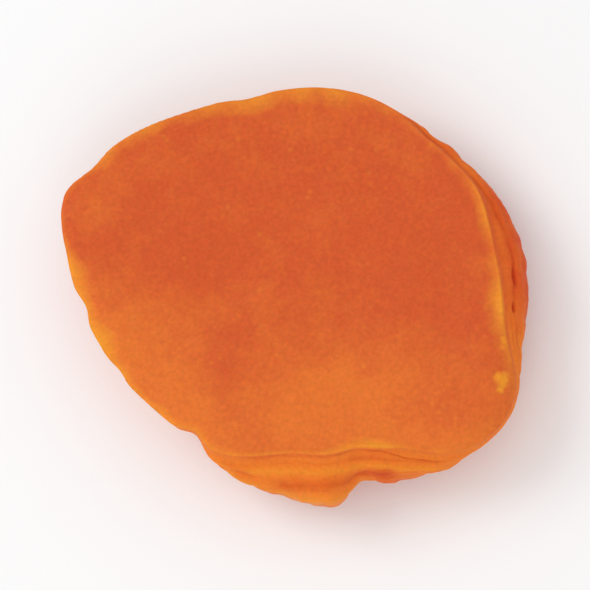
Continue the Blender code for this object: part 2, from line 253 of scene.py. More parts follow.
HOLLOW_DEPTH = 0.09 * MM     # a hollow of the grain this deep has its whole painted shade

# Colour and finish, with the same kinds of numbers
FLESH_SLANT = 0.33           # how much X counts beside Y in the change from deep to pale flesh
FLESH_FALL = (3.0 * MM, -11.0 * MM, 0.08, 0.88)    # places on that slant, paleness
FLESH_CLOUDS = (             # scale, detail, change of paleness
    (90.0, 2.0, 0.18), (280.0, 3.0, 0.14), (900.0, 2.0, 0.07), (2400.0, 2.0, 0.12),
)
FLECK_SCALE = 850.0
FLECK_SHAPE = (0.30, 0.08, 0.0, 0.20)              # distances from a fleck's middle, strengths
FLECK_CLOUD = (240.0, 2.0)   # scale and detail of the clouds that hold flecks
FLECK_SPREAD = (0.50, 0.66)
REAR_START = (-5.0 * MM, 0.5 * MM, 0.0, 0.88)      # places along Y, redness of the skin
REAR_END = (8.0 * MM, 13.0 * MM, 1.0, 0.55)        # places along Y, share of it that is left
REAR_RUN = (1.0 * MM, 2.0 * MM, 0.75, 1.0)         # distances down the skin, share of it
UNDER_RUN = (3.0 * MM, 10.0 * MM, -0.05, 0.8)      # distances down the skin, redness everywhere
SKIN_CLOUD = (190.0, 3.0, 0.55)                    # scale, detail, roughness
SKIN_CLOUD_CHANGE = 0.25
# how far a ridge's painted highlight goes towards the lip colour
RIDGE_HIGHLIGHT = 0.62
HOLLOW_SHARE = 0.45          # how much the painted shade of a grain hollow counts beside that of a crease
# how far the painted shade of creases and hollows goes towards the crease colour
CREASE_STRENGTH = 0.8
LIP_CLOUD = (420.0, 3.0)
LIP_CLOUD_CHANGE = 0.14
LIP_LEAST = 0.15             # a glow weaker than this fades out altogether
SPECKLES = ((2800.0, 2.0, 0.045), (1300.0, 2.0, 0.015))    # scale, detail, change of brightness
SKIN_START = 1.0 * MM        # flesh turns to skin over this distance below the lip
UNDER_START = (2.5 * MM, 8.0 * MM)   # distances between which the skin becomes glossier
ROUGHNESS_CLOUD = (700.0, 2.0)
ROUGHNESS = (0.52, 0.66)
SKIN_DULLNESS = 0.16
UNDER_GLOSS = 0.40
SHINE = (0.14, 0.50)         # of the flesh and the rim, and of the skin underneath
BUMP_CLOUDS = ((2600.0, 3.0, 0.6), (1100.0, 2.0))
BUMP_SHARE = 0.5             # how much the first of them counts beside the second
BUMP_RUN = (0.2 * MM, 1.2 * MM, 0.35, 0.80)        # distances down the skin, strengths
BUMP_HEIGHT = 0.08 * MM
FRUIT_IOR = 1.36
SCATTER_WEIGHT = 0.30        # share of the light that wanders inside the flesh
SCATTER_RADIUS = (1.0, 0.30, 0.06)
SCATTER_SCALE = 1.0 * MM

# Stage
FLOOR_SIZE = 1.5             # half its side
FLOOR_ROUGHNESS = 0.9
LAMPS = (                    # name, direction, distance, size, setting that holds its power
    ("key", (-1.0, 0.45, 1.25), 0.55, 0.30, "key"),
    ("front", (0.1, -1.0, 0.9), 0.60, 0.40, "fill"),
)
LENS = 150
SENSOR_WIDTH = 36
NEAREST = 0.01
VIEW_WIDTH = 44 * 295 / 235 * MM     # the half, 44 mm long, takes up 235 of 295 parts of the view
LEAN = (9, 14)               # degrees that the camera stands off the vertical, to +X and to -Y
LOOK_AT = (0, 0.42 * MM, 4.5 * MM)


def colour(name, description, default):
    return FloatVectorProperty(
        name=name, description=description, subtype="COLOR", size=3, min=0, max=1, default=default
    )


def length(name, description, default):
    return FloatProperty(
        name=name, description=description, subtype="DISTANCE", unit="LENGTH", default=default
    )


def share(name, description, default, top=1.0):
    return FloatProperty(name=name, description=description, min=0, max=top, default=default)


class ApricotShape(PropertyGroup):
    cells: IntProperty(
        name="Cells", description="Mesh cells along a side of the starting cube",
        default=124, min=16, max=128,
    )
    half_length: length("Half length", "Middle of the outline to the round end", 22.0 * MM)
    thickness: length("Thickness", "Resting plane to the middle of the cut face", 8.0 * MM)
    contact: length("Contact radius", "The flat spot that the half lies on", 5.5 * MM)
    contact_blend: length("Contact blend", "Width over which puckers come back round it", 4.0 * MM)
    fold_pitch: length("Fold pitch", "From one fold along the rim to the next", 2.3 * MM)
    fold_depth: length("Fold depth", "Height of a fold over its crease", 0.70 * MM)
    pleat_depth: length("Pleat depth", "Height of the pleats that cross the folds", 0.10 * MM)
    pucker_size: length("Pucker size", "Mesh of the pucker net", 3.4 * MM)
    pucker_depth: length("Pucker depth", "Height of a pucker over its crease", 0.50 * MM)


class ApricotRelief(PropertyGroup):
    grain_size: length("Grain size", "Width of the fine bumps of the skin", 0.8 * MM)
    grain_depth: length("Grain depth", "Height of the fine bumps", 0.065 * MM)
    ridge_count: IntProperty(
        name="Ridges", description="How many times fine ridges start anew round the rim",
        default=22, min=2,
    )
    ruck_count: IntProperty(
        name="Rucks", description="Fine cross wrinkles round the skin", default=110, min=10
    )
    ruck_depth: length("Ruck depth", "Height of the fine ridges and cross wrinkles", 0.045 * MM)
    face_grain: length("Face grain", "Height of the slight unevenness of the cut face", 0.02 * MM)
    seed: IntProperty(name="Seed", description="Start of the random pattern", default=11)


class ApricotColours(PropertyGroup):
    flesh: colour("Flesh", "Cut face, deep parts", (0.645, 0.100, 0.026))
    flesh_light: colour("Light flesh", "Cut face, paler parts", (0.775, 0.182, 0.030))
    # Painted glow of the thin edge; the same colour makes the pale flecks and the painted highlight on
    # ridges
    lip: colour("Lip", "Thin, translucent edge", (0.850, 0.325, 0.028))
    skin: colour("Skin", "Skin underneath", (0.680, 0.080, 0.018))
    skin_light: colour("Light skin", "Skin near the rim", (0.825, 0.203, 0.025))
    # Painted shade: the colour laid into the bottoms of folds, creases and the grain's hollows
    crease: colour("Crease", "Bottoms of folds and creases", (0.580, 0.046, 0.009))
    torn: colour("Torn scraps", "Paler tissue beside the lip", (0.835, 0.305, 0.026))


class ApricotStage(PropertyGroup):
    floor: colour("Floor", "Colour of the plain floor", (0.94, 0.94, 0.94))
    world: share("World", "Strength of the even light from all round", 0.76, 10)
    key: share("Key", "Power of the large soft lamp at the left", 0.80, 100)
    fill: share("Fill", "Power of the lamp at the front", 0.50, 100)


def smooth_through(at, values, x):
    """Reads, at each x, a smooth curve through values at the stations in at.

    Each station has one value, or one value for every x."""
    at = np.asarray(at, float)
    values = np.asarray(values, float)
    if values.ndim == 1:
        values = np.repeat(values[:, None], len(x), axis=1)
    slope = np.gradient(values, at, axis=0)
    row = np.clip(np.searchsorted(at, x, side="right") - 1, 0, len(at) - 2)
    column = np.arange(len(x))
    span = at[row + 1] - at[row]
    t = (x - at[row]) / span
    start = values[row, column]
    end = values[row + 1, column]
    leave = slope[row, column] * span
    arrive = slope[row + 1, column] * span
    return (
        (2 * t**3 - 3 * t**2 + 1) * start
        + (t**3 - 2 * t**2 + t) * leave
        + (3 * t**2 - 2 * t**3) * end
        + (t**3 - t**2) * arrive
    )


def round_the_rim(pairs, degrees):
    """Reads (degrees, value) pairs as a smooth curve that closes on itself."""
    around = [(a - 360, v) for a, v in pairs] + pairs + [(a + 360, v) for a, v in pairs]
    return smooth_through([a for a, _ in around], [v for _, v in around], degrees)


def fade(x, start, end):
    """0 before start and 1 after end, with a soft ramp between. It falls where start is the larger."""
    t = np.clip((x - start) / (end - start), 0, 1)
    return t * t * (3 - 2 * t)


def noise_at(points, size, seed):
    """Smooth noise from -1 to 1 at each point, with features about size across."""
    shift = Vector(NOISE_SHIFT) * seed
    return np.array([noise.noise(Vector(p) / size + shift) for p in points])


def ball_mesh(name, cells):
    """A cube cut into a grid and blown up to a unit ball, whose faces stay nearly square."""
    cage = bmesh.new()
    bmesh.ops.create_cube(cage, size=2.0)
    bmesh.ops.subdivide_edges(cage, edges=cage.edges[:], cuts=cells - 1, use_grid_fill=True)
    for vert in cage.verts:
        vert.co = Vector([math.tan(c * math.pi / 4) for c in vert.co]).normalized()
    mesh = bpy.data.meshes.new(name)
    cage.to_mesh(mesh)
    cage.free()
    return mesh


def read_points(mesh):
    """The places of the mesh's points, one row for each."""
    points = np.empty(len(mesh.vertices) * 3, np.float32)
    mesh.vertices.foreach_get("co", points)
    return points.reshape(-1, 3).astype(float)


def write_points(mesh, points):
    """Moves the mesh's points to new places."""
    mesh.vertices.foreach_set("co", points.astype(np.float32).ravel())
    mesh.update()


def outward(mesh):
    """The direction straight out of the surface at each point."""
    normals = np.empty(len(mesh.vertices) * 3, np.float32)
    mesh.vertex_normals.foreach_get("vector", normals)
    return normals.reshape(-1, 3).astype(float)


def keep_values(mesh, name, values):
    """Stores one number for each point, for the relief and the material to read."""
    attribute = mesh.attributes.new(name, "FLOAT", "POINT")
    attribute.data.foreach_set("value", values.astype(np.float32))


def rim_lines(degrees, half_length):
    """Distances from the middle to the skin's outline and to the crest of the lip, with their nicks."""
    edge = round_the_rim(OUTLINE, degrees) * half_length
    lip = edge - round_the_rim(LIP_INSET, degrees)
    for centre, half_width, depth, follows in NICKS:
        away = np.abs((degrees - centre + 180) % 360 - 180)
        bite = depth * fade(away, half_width, 0)
        edge -= bite
        lip -= bite * follows
    return edge, lip


def flesh_height(x, y, shape):
    """Height of the cut face: a shallow dish with the ghost of the stone's hollow."""
    reach = np.hypot(x, y) / shape.half_length
    flat = np.column_stack([x, y, np.zeros_like(x)])
    height = shape.thickness + FACE_TILT[0] * x + FACE_TILT[1] * y
    height += FACE_DISH * (np.clip(reach, 0, 1) ** 3)
    height -= PIT_HOLLOW * fade(np.hypot(x / PIT_SIZE[0], y / PIT_SIZE[1]), *PIT_BLEND)
    return height + FACE_SWELL * noise_at(flat, FACE_SWELL_SIZE, 1)


def cut_face(down, turn, lip, raised, shape):
    """Distance from the middle and height of the cut face, out to the crest of the lip."""
    rolled = fade(raised, UPRIGHT, ROLLED)
    foot = lip - LIP_WIDTH - (ROLL_WIDTH - LIP_WIDTH) * rolled
    stations = [at for at, _ in CUT_SECTION + LIP_SECTION]
    rows = [part * foot for _, part in CUT_SECTION]
    rows += [foot + part * (lip - foot) for _, part in LIP_SECTION]
    across = smooth_through(stations, rows, np.clip(down, 0, LIP_STATION))
    height = flesh_height(across * np.cos(turn), across * np.sin(turn), shape)
    t = np.clip((across - foot) / (lip - foot), 0, 1)
    # An upright lip has a soft crest, and a rolled edge falls ever more steeply
    bend = t * t * (1 + 2 * (1 - rolled) * (1 - t))
    return across, height + raised * bend


def skin_sheet(down, lip, edge, undercut, lip_top):
    """Distance from the middle and height of the skin, from the lip to the middle underneath."""
    stations = [row[0] for row in SIDE_SECTION + UNDER_SECTION]
    rows = [lip + out * (edge - lip) - drawn * undercut for _, out, drawn, _ in SIDE_SECTION]
    rows += [
        part * edge - inside - drawn * undercut for _, part, inside, drawn, _ in UNDER_SECTION
    ]
    levels = [row[-1] * lip_top for row in SIDE_SECTION + UNDER_SECTION]
    at = np.clip(down, LIP_STATION, 180)
    return smooth_through(stations, rows, at), smooth_through(stations, levels, at)


def plain_body(ball, shape):
    """The half without wrinkles: points, how far down the skin each is, how far in from the lip."""
    down = np.degrees(np.arccos(np.clip(ball[:, 2], -1, 1)))
    turn = np.arctan2(ball[:, 1], ball[:, 0])
    degrees = np.degrees(turn) % 360
    edge, lip = rim_lines(degrees, shape.half_length)
    raised = round_the_rim(LIP_HEIGHT, degrees)
    undercut = round_the_rim(UNDERCUT, degrees)
    lip_top = flesh_height(lip * np.cos(turn), lip * np.sin(turn), shape) + raised

    cut_across, cut_height = cut_face(down, turn, lip, raised, shape)
    skin_across, skin_height = skin_sheet(down, lip, edge, undercut, lip_top)
    on_skin = down > LIP_STATION
    across = np.where(on_skin, skin_across, cut_across)
    height = np.where(on_skin, skin_height, cut_height)
    run = np.where(on_skin, np.hypot(lip - skin_across, lip_top - skin_height), 0)
    inward = np.where(on_skin, 0, lip - cut_across)
    return np.column_stack([across * np.cos(turn), across * np.sin(turn), height]), run, inward


def folds(points, run, shape):
    """Folds that follow the rim, deep where the skin hangs loose and shallow where it is taut."""
    drift = FOLD_DRIFT * noise_at(points, FOLD_DRIFT_SIZE, 2)
    loose = fade(noise_at(points, FOLD_PATCH_SIZE, 3), *FOLD_PATCH_RANGE)
    wave = np.abs(np.sin(math.pi * (run / shape.fold_pitch + drift))) - CREASE_LEVEL
    depth = FOLD_LEAST + (1 - FOLD_LEAST) * loose
    near = round_the_rim(FOLD_NEAR, np.degrees(np.arctan2(points[:, 1], points[:, 0])) % 360)
    depth *= near + (1 - near) * fade(run, *FOLD_NEAR_REACH)
    return wave * depth * fade(run, *FOLD_START) * fade(run, *FOLD_REACH)


def pleats(points, run):
    """Short pleats that run down the skin and cross the folds."""
    turn = np.arctan2(points[:, 1], points[:, 0])
    lean = PLEAT_WANDER * noise_at(points, PLEAT_WANDER_SIZE, 4) + run / PLEAT_SLANT
    wave = np.abs(np.sin(PLEAT_COUNT / 2 * turn + lean)) - CREASE_LEVEL
    return wave * fade(run, *PLEAT_START) * fade(run, *PLEAT_REACH)


def puckers(points, run, shape):
    """A ragged net of narrow creases with rounded puckers between them."""
    ragged = points + PUCKER_RAGGED * noise_at(points, PUCKER_RAGGED_SIZE, 5)[:, None]
    net = np.abs(noise_at(ragged, shape.pucker_size, 6)) * PUCKER_GAIN
    return (np.minimum(net, 1) ** PUCKER_SHAPE - PUCKER_LEVEL) * fade(run, *PUCKER_START)


def rim_creases(points, run):
    """How far each point sinks into a crease near the rim, or, below 0, rises on a ridge."""
    degrees = np.degrees(np.arctan2(points[:, 1], points[:, 0]))
    ragged = CREASE_RAGGED * noise_at(points, CREASE_RAGGED_SIZE, 9)
    sunk = np.zeros(len(points))
    wander = CREASE_WANDER * noise_at(points, CREASE_WANDER_SIZE, 10)
    for depth, half_width, path in CREASES:
        at, down = np.array(path).T
        along = at[0] + (degrees - at[0]) % 360
        away = np.clip(np.abs(run + wander - np.interp(along, at, down)) / half_width, 0, 1)
        ends = fade(along, at[0], at[0] + CREASE_END) * fade(along, at[-1], at[-1] - CREASE_END)
        sunk += depth * (1 - away) ** 2 * ends * (1 + ragged)
    for centre, half_width, down, half_gap, depth in POCKETS:
        along = ((degrees - centre + 180) % 360 - 180) / half_width
        aside = (run - down) / half_gap
        pocket = depth * fade(np.hypot(along, aside) + ragged, *POCKET_BORDER)
        sunk = np.where(pocket > 0, np.maximum(sunk, pocket), sunk)
    return sunk


def flesh_patches(points):
    """How much redder or paler the flesh is at each point, in soft patches."""
    change = np.zeros(len(points))
    for x, y, half_x, half_y, strength in FLESH_PATCHES:
        away = np.hypot((points[:, 0] - x) / half_x, (points[:, 1] - y) / half_y)
        change += strength * fade(away, *PATCH_BORDER)
    return change


def torn_scraps(points):
    """1 on the torn scraps of tissue, 0 elsewhere, with ragged borders."""
    ragged = TORN_RAGGED * noise_at(points, TORN_RAGGED_SIZE, 8)
    torn = np.zeros(len(points))
    for x, y, half_x, half_y in TORN:
        away = np.hypot((points[:, 0] - x) / half_x, (points[:, 1] - y) / half_y) + ragged
        torn = np.maximum(torn, fade(away, *TORN_BORDER))
    return torn * fade(points[:, 2], *TORN_LEVEL)


def wrinkled_body(name, shape):
    """The half with the wrinkles of the solid, and the numbers that its relief and material read."""
    mesh = ball_mesh(name, shape.cells)
    points, run, inward = plain_body(read_points(mesh), shape)
    write_points(mesh, points)
    from_middle = np.hypot(points[:, 0], points[:, 1])
    free = fade(from_middle, shape.contact, shape.contact + shape.contact_blend)
    fold = folds(points, run, shape)
    pleat = pleats(points, run)
    pucker = puckers(points, run, shape)
    sunk = rim_creases(points, run)
    relief = shape.fold_depth * fold + shape.pleat_depth * pleat + shape.pucker_depth * pucker
    relief = relief * free * fade(run, 0, RIM_CALM) - sunk
    degrees = np.degrees(np.arctan2(points[:, 1], points[:, 0])) % 360
    points += outward(mesh) * relief[:, None]
    points[:, :2] -= (points[:, :2].max(axis=0) + points[:, :2].min(axis=0)) / 2
    write_points(mesh, points)

    # Painted shade in the creases of folds, puckers and rim creases; below 0 a painted highlight on the
    # ridges
    creased = fade(fold, *FOLD_SHADE) + PUCKER_SHADE_SHARE * fade(pucker, *PUCKER_SHADE)
    keep_values(mesh, "run", run)
    keep_values(mesh, "inward", inward)
    # Painted glow where light comes through the thin edge, kept for the material
    reach = np.maximum(round_the_rim([row[:2] for row in GLOW], degrees), GLOW_LEAST)
    strength = round_the_rim([row[::2] for row in GLOW], degrees)
    thin = np.clip(1 - (inward + GLOW_STOP * run) / reach, 0, 1) ** GLOW_FALL
    keep_values(mesh, "glow", thin * strength)
    keep_values(mesh, "patch", flesh_patches(points))
    keep_values(mesh, "free", free * fade(run, 0, RIM_CALM))
    keep_values(mesh, "crease", np.clip(creased * free + sunk / SHADE_DEPTH, -1, 1))
    keep_values(mesh, "torn", torn_scraps(points))
    return mesh


def node(tree, kind, inputs=(), **settings):
    """Adds a node, sets it up, and links or fills the inputs that are named."""
    made = tree.nodes.new(kind)
    for name, value in settings.items():
        setattr(made, name, value)
    for key, value in dict(inputs).items():
        if isinstance(value, bpy.types.NodeSocket):
            tree.links.new(value, made.inputs[key])
        else:
            made.inputs[key].default_value = value
    return made


def maths(tree, operation, a, b=0.0, c=0.0, clamp=False):
    """One Math node, whose result is returned. Only MULTIPLY_ADD, a * b + c, takes the third value."""
    inputs = {0: a, 1: b}
    if operation == "MULTIPLY_ADD":
        inputs[2] = c
    made = node(tree, "ShaderNodeMath", inputs, operation=operation, use_clamp=clamp)
    return made.outputs[0]


def ramp(tree, value, low, high, to_low=0.0, to_high=1.0):
    """Spreads value from low..high to to_low..to_high with a soft start and end."""
    return node(
        tree, "ShaderNodeMapRange",
        {"Value": value, "From Min": low, "From Max": high, "To Min": to_low, "To Max": to_high},
        interpolation_type="SMOOTHSTEP",
    ).outputs["Result"]


RELIEF_INPUTS = (
    ("Grain size", "grain_size"), ("Grain depth", "grain_depth"), ("Ridges", "ridge_count"),
    ("Rucks", "ruck_count"), ("Ruck depth", "ruck_depth"), ("Face grain", "face_grain"),
    ("Seed", "seed"),
)


def relief_tree():
    """Geometry nodes that raise the skin's fine grain and cross wrinkles along the surface."""
    tree = bpy.data.node_groups.new("skin_relief", "GeometryNodeTree")
    face = tree.interface
    face.new_socket("Geometry", in_out="INPUT", socket_type="NodeSocketGeometry")
    for label, _ in RELIEF_INPUTS:
        face.new_socket(label, in_out="INPUT", socket_type="NodeSocketFloat")
    face.new_socket("Material", in_out="INPUT", socket_type="NodeSocketMaterial")
    face.new_socket("Geometry", in_out="OUTPUT", socket_type="NodeSocketGeometry")
    given = node(tree, "NodeGroupInput").outputs

    def value_of(name):
        return node(
            tree, "GeometryNodeInputNamedAttribute", {"Name": name}, data_type="FLOAT"
        ).outputs["Attribute"]

    def cloud(scale, detail):
        return node(
            tree, "ShaderNodeTexNoise", {"Vector": place, "Scale": scale, "Detail": detail}
        ).outputs["Fac"]

    place = node(tree, "GeometryNodeInputPosition").outputs[0]
    run, free, inward = value_of("run"), value_of("free"), value_of("inward")

    # Round bumps that lie close together
    per_metre = maths(tree, "DIVIDE", 1.0, given["Grain size"])
    shift = node(tree, "ShaderNodeCombineXYZ", {0: given["Seed"], 1: given["Seed"]}).outputs[0]
    moved = node(
        tree, "ShaderNodeVectorMath", {0: place, 1: per_metre, 2: shift}, operation="MULTIPLY_ADD"
    ).outputs[0]
    stir_scale, stir_size = GRAIN_STIR
    stirred = node(
        tree, "ShaderNodeTexNoise", {"Vector": moved, "Scale": stir_scale, "Detail": 1.0},
        noise_dimensions="3D",
    ).outputs["Color"]
    stirred = node(
        tree, "ShaderNodeVectorMath", {0: stirred, 1: (stir_size,) * 3, 2: moved},
        operation="MULTIPLY_ADD",
    ).outputs[0]
    cell = node(
        tree, "ShaderNodeTexVoronoi",
        {"Vector": stirred, "Scale": 1.0, "Smoothness": GRAIN_SMOOTHNESS}, feature="SMOOTH_F1",
    ).outputs["Distance"]
    grain = ramp(tree, cell, *GRAIN_SHAPE)
    grain = maths(tree, "MULTIPLY", grain, ramp(tree, cloud(*GRAIN_CLOUD), *GRAIN_SPREAD))
    grain = maths(tree, "MULTIPLY", grain, given["Grain depth"])
    grain = maths(tree, "MULTIPLY", grain, ramp(tree, run, *GRAIN_RUN))

    # Noise drawn out round the rim makes fine ridges, and drawn out down the skin, cross wrinkles
    parts = node(tree, "ShaderNodeSeparateXYZ", {0: place}).outputs
    turn = maths(tree, "ARCTAN2", parts[1], parts[0])

    def wrinkle(number, per_metre_down):
        """Wrinkles from -1 to 1: so many round the rim, and so many in a metre down the skin."""
        round_trip = maths(tree, "DIVIDE", number, 2 * math.pi)
        stretched = node(
            tree, "ShaderNodeCombineXYZ",
            {
                0: maths(tree, "MULTIPLY", maths(tree, "COSINE", turn), round_trip),
                1: maths(tree, "MULTIPLY", maths(tree, "SINE", turn), round_trip),
                2: maths(tree, "MULTIPLY", run, per_metre_down),
            },
        ).outputs[0]
        made = node(
            tree, "ShaderNodeTexNoise",
            {"Vector": stretched, "Scale": 1.0, "Detail": 2.0, "Roughness": 0.45, "Distortion": 0.4},
        ).outputs["Fac"]
        return maths(tree, "MULTIPLY", ramp(tree, made, *NOISE_SPREAD, -1.0, 1.0), given["Ruck depth"])

    ridge = maths(tree, "MULTIPLY", wrinkle(given["Ridges"], RIDGES_DOWN), ramp(tree, run, *RIDGE_START))
    ridge = maths(tree, "MULTIPLY", ridge, ramp(tree, run, *RIDGE_RUN))
    ruck = maths(tree, "MULTIPLY", wrinkle(given["Rucks"], RUCKS_DOWN), ramp(tree, run, *RUCK_START))
    ruck = maths(tree, "MULTIPLY", ruck, ramp(tree, run, *RUCK_RUN))
    ruck = maths(tree, "ADD", ruck, ridge)

    # The cut face is only a little uneven
    uneven = maths(tree, "SUBTRACT", cloud(*FACE_CLOUD), 0.5)
    uneven = maths(tree, "MULTIPLY", uneven, maths(tree, "MULTIPLY", given["Face grain"], 2.0))
    uneven = maths(tree, "MULTIPLY", uneven, ramp(tree, inward, *FACE_START))

    # A ragged scrap where the tissue is torn
    scrap = maths(tree, "SUBTRACT", cloud(*SCRAP_CLOUD), SCRAP_LEVEL)
    scrap = maths(tree, "MULTIPLY", scrap, SCRAP_HEIGHT)
    scrap = maths(tree, "MULTIPLY", scrap, value_of("torn"))

    total = maths(tree, "MULTIPLY", maths(tree, "ADD", grain, ruck), free)
    total = maths(tree, "ADD", maths(tree, "ADD", total, uneven), scrap)
    lifted = node(
        tree, "ShaderNodeVectorMath",
        {0: node(tree, "GeometryNodeInputNormal").outputs[0], "Scale": total}, operation="SCALE",
    ).outputs[0]
    raised = node(
        tree, "GeometryNodeSetPosition", {"Geometry": given["Geometry"], "Offset": lifted}
    ).outputs[0]
    # Painted shade for the hollows of the grain and wrinkles, kept for the material
    hollow = ramp(tree, maths(tree, "ADD", grain, ruck), 0.0, -HOLLOW_DEPTH)
    hollow = maths(tree, "MULTIPLY", hollow, free)
    marked = node(
        tree, "GeometryNodeStoreNamedAttribute",
        {"Geometry": raised, "Name": "hollow", "Value": hollow}, data_type="FLOAT", domain="POINT",
    ).outputs[0]
    whole = node(tree, "GeometryNodeRealizeInstances", {0: marked}).outputs[0]
    finished = node(
        tree, "GeometryNodeSetMaterial", {"Geometry": whole, "Material": given["Material"]}
    ).outputs[0]
    node(tree, "NodeGroupOutput", {0: finished})
    return tree


def through_tree(mesh, tree, values):
    """Runs a mesh through a geometry node tree and returns the plain mesh that comes out."""
    carrier = bpy.data.objects.new("carrier", mesh)
    bpy.context.scene.collection.objects.link(carrier)
    modifier = carrier.modifiers.new("relief", "NODES")
    modifier.node_group = tree
    for item in tree.interface.items_tree:
        if item.in_out == "INPUT" and item.name in values:
            modifier[item.identifier] = values[item.name]
    graph = bpy.context.evaluated_depsgraph_get()
    result = bpy.data.meshes.new_from_object(carrier.evaluated_get(graph))
    carrier.modifiers.remove(modifier)
    bpy.data.objects.remove(carrier)
    return result


def blend_colours(tree, factor, a, b, kind="MIX"):
    """Mixes two colours, each a socket or three numbers."""
    inputs = {"Factor": factor}
    for key, value in (("A", a), ("B", b)):
        inputs[key] = value if isinstance(value, bpy.types.NodeSocket) else (*value, 1.0)
    made = tree.nodes.new("ShaderNodeMix")
    made.data_type = "RGBA"
    made.blend_type = kind
    sockets = {"Factor": made.inputs[0], "A": made.inputs[6], "B": made.inputs[7]}
    for key, value in inputs.items():
        if isinstance(value, bpy.types.NodeSocket):
            tree.links.new(value, sockets[key])
        else:
            sockets[key].default_value = value
    return made.outputs[2]


def fruit_material(colours):
    """Gelled flesh and skin: orange in the flesh, a painted glow of yellow at the thin lip, and painted
    shade of red in the folds.
    """
    material = bpy.data.materials.new("gelled_fruit")
    material.use_nodes = True
    tree = material.node_tree
    shader = tree.nodes["Principled BSDF"]
    place = node(tree, "ShaderNodeTexCoord").outputs["Object"]

    def value_of(name):
        return node(tree, "ShaderNodeAttribute", attribute_name=name).outputs["Fac"]

    def cloud(scale, detail, roughness=0.5):
        return node(
            tree, "ShaderNodeTexNoise",
            {"Vector": place, "Scale": scale, "Detail": detail, "Roughness": roughness},
        ).outputs["Fac"]

    run, crease, hollow = value_of("run"), value_of("crease"), value_of("hollow")
    torn, glow = value_of("torn"), value_of("glow")
    on_skin = ramp(tree, run, 0.0, SKIN_START)

    # Flesh: paler towards -Y and -X, with soft clouds, mottles and small pale flecks
    parts = node(tree, "ShaderNodeSeparateXYZ", {0: place}).outputs
    across = maths(tree, "MULTIPLY_ADD", parts[0], FLESH_SLANT, parts[1])
    tone = maths(tree, "ADD", ramp(tree, across, *FLESH_FALL), value_of("patch"))
    for scale, detail, change in FLESH_CLOUDS:
        mottle = ramp(tree, cloud(scale, detail), *NOISE_SPREAD, -change, change)
        tone = maths(tree, "ADD", tone, mottle, clamp=True)
    flesh = blend_colours(tree, tone, colours.flesh, colours.flesh_light)
    fleck = node(
        tree, "ShaderNodeTexVoronoi", {"Vector": place, "Scale": FLECK_SCALE, "Randomness": 1.0}
    ).outputs["Distance"]
    fleck = ramp(tree, fleck, *FLECK_SHAPE)
    fleck = maths(tree, "MULTIPLY", fleck, ramp(tree, cloud(*FLECK_CLOUD), *FLECK_SPREAD))
    flesh = blend_colours(tree, fleck, flesh, colours.lip)

    # Skin: orange in front and near the rim, redder behind and underneath, with painted highlights on
    # ridges and painted shade in the creases
    rear = maths(
        tree, "MULTIPLY", ramp(tree, parts[1], *REAR_START), ramp(tree, parts[1], *REAR_END)
    )
    redness = maths(
        tree, "MULTIPLY_ADD", rear, ramp(tree, run, *REAR_RUN), ramp(tree, run, *UNDER_RUN)
    )
    patch = ramp(tree, cloud(*SKIN_CLOUD), *NOISE_SPREAD, SKIN_CLOUD_CHANGE, -SKIN_CLOUD_CHANGE)
    redness = maths(tree, "ADD", redness, patch, clamp=True)
    skin = blend_colours(tree, redness, colours.skin_light, colours.skin)
    # Painted highlight: ridges turn towards the lip colour
    ridge = maths(tree, "MULTIPLY", crease, -RIDGE_HIGHLIGHT, clamp=True)
    skin = blend_colours(tree, ridge, skin, colours.lip)
    # Painted shade: the creases and the grain's hollows darken towards the crease colour
    deep = maths(tree, "MULTIPLY_ADD", hollow, HOLLOW_SHARE, crease, clamp=True)
    deep = maths(tree, "MULTIPLY", deep, CREASE_STRENGTH)
    skin = blend_colours(tree, deep, skin, colours.crease)
    base = blend_colours(tree, on_skin, flesh, skin)

    # Lip: a painted glow where the thin edge lets light through
    uneven = ramp(tree, cloud(*LIP_CLOUD), *NOISE_SPREAD, -LIP_CLOUD_CHANGE, LIP_CLOUD_CHANGE)
    thin = maths(tree, "ADD", glow, uneven)
    thin = maths(tree, "MULTIPLY", thin, ramp(tree, glow, 0.0, LIP_LEAST), clamp=True)
    base = blend_colours(tree, thin, base, colours.lip)
    base = blend_colours(tree, torn, base, colours.torn)
    for scale, detail, change in SPECKLES:
        speckle = ramp(tree, cloud(scale, detail), *NOISE_SPREAD, 1 - change, 1 + change)
        base = blend_colours(tree, 1.0, base, speckle, "MULTIPLY")
    tree.links.new(base, shader.inputs["Base Color"])

    # The skin underneath is glossier than the flesh, and the rim is the dullest
    under = ramp(tree, run, *UNDER_START)
    roughness = ramp(tree, cloud(*ROUGHNESS_CLOUD), *NOISE_SPREAD, *ROUGHNESS)
    roughness = maths(tree, "MULTIPLY_ADD", on_skin, SKIN_DULLNESS, roughness)
    roughness = maths(tree, "MULTIPLY_ADD", under, -UNDER_GLOSS, roughness)
    tree.links.new(roughness, shader.inputs["Roughness"])
    tree.links.new(ramp(tree, under, 0.0, 1.0, *SHINE), shader.inputs["Specular IOR Level"])

    finer, coarser = (cloud(*settings) for settings in BUMP_CLOUDS)
    fine = maths(tree, "MULTIPLY_ADD", finer, BUMP_SHARE, coarser)
    bump = node(
        tree, "ShaderNodeBump",
        {"Strength": ramp(tree, run, *BUMP_RUN), "Distance": BUMP_HEIGHT, "Height": fine},
    ).outputs[0]
    tree.links.new(bump, shader.inputs["Normal"])

    shader.inputs["Metallic"].default_value = 0.0
    shader.inputs["IOR"].default_value = FRUIT_IOR
    shader.inputs["Subsurface Weight"].default_value = SCATTER_WEIGHT
    shader.inputs["Subsurface Radius"].default_value = SCATTER_RADIUS
    shader.inputs["Subsurface Scale"].default_value = SCATTER_SCALE
    return material


def plain_material(name, tone, roughness):
    material = bpy.data.materials.new(name)
    material.use_nodes = True
    shader = material.node_tree.nodes["Principled BSDF"]
    shader.inputs["Base Color"].default_value = (*tone, 1.0)
    shader.inputs["Roughness"].default_value = roughness
    return material


def add_object(name, data):
    made = bpy.data.objects.new(name, data)
    bpy.context.scene.collection.objects.link(made)
    return made


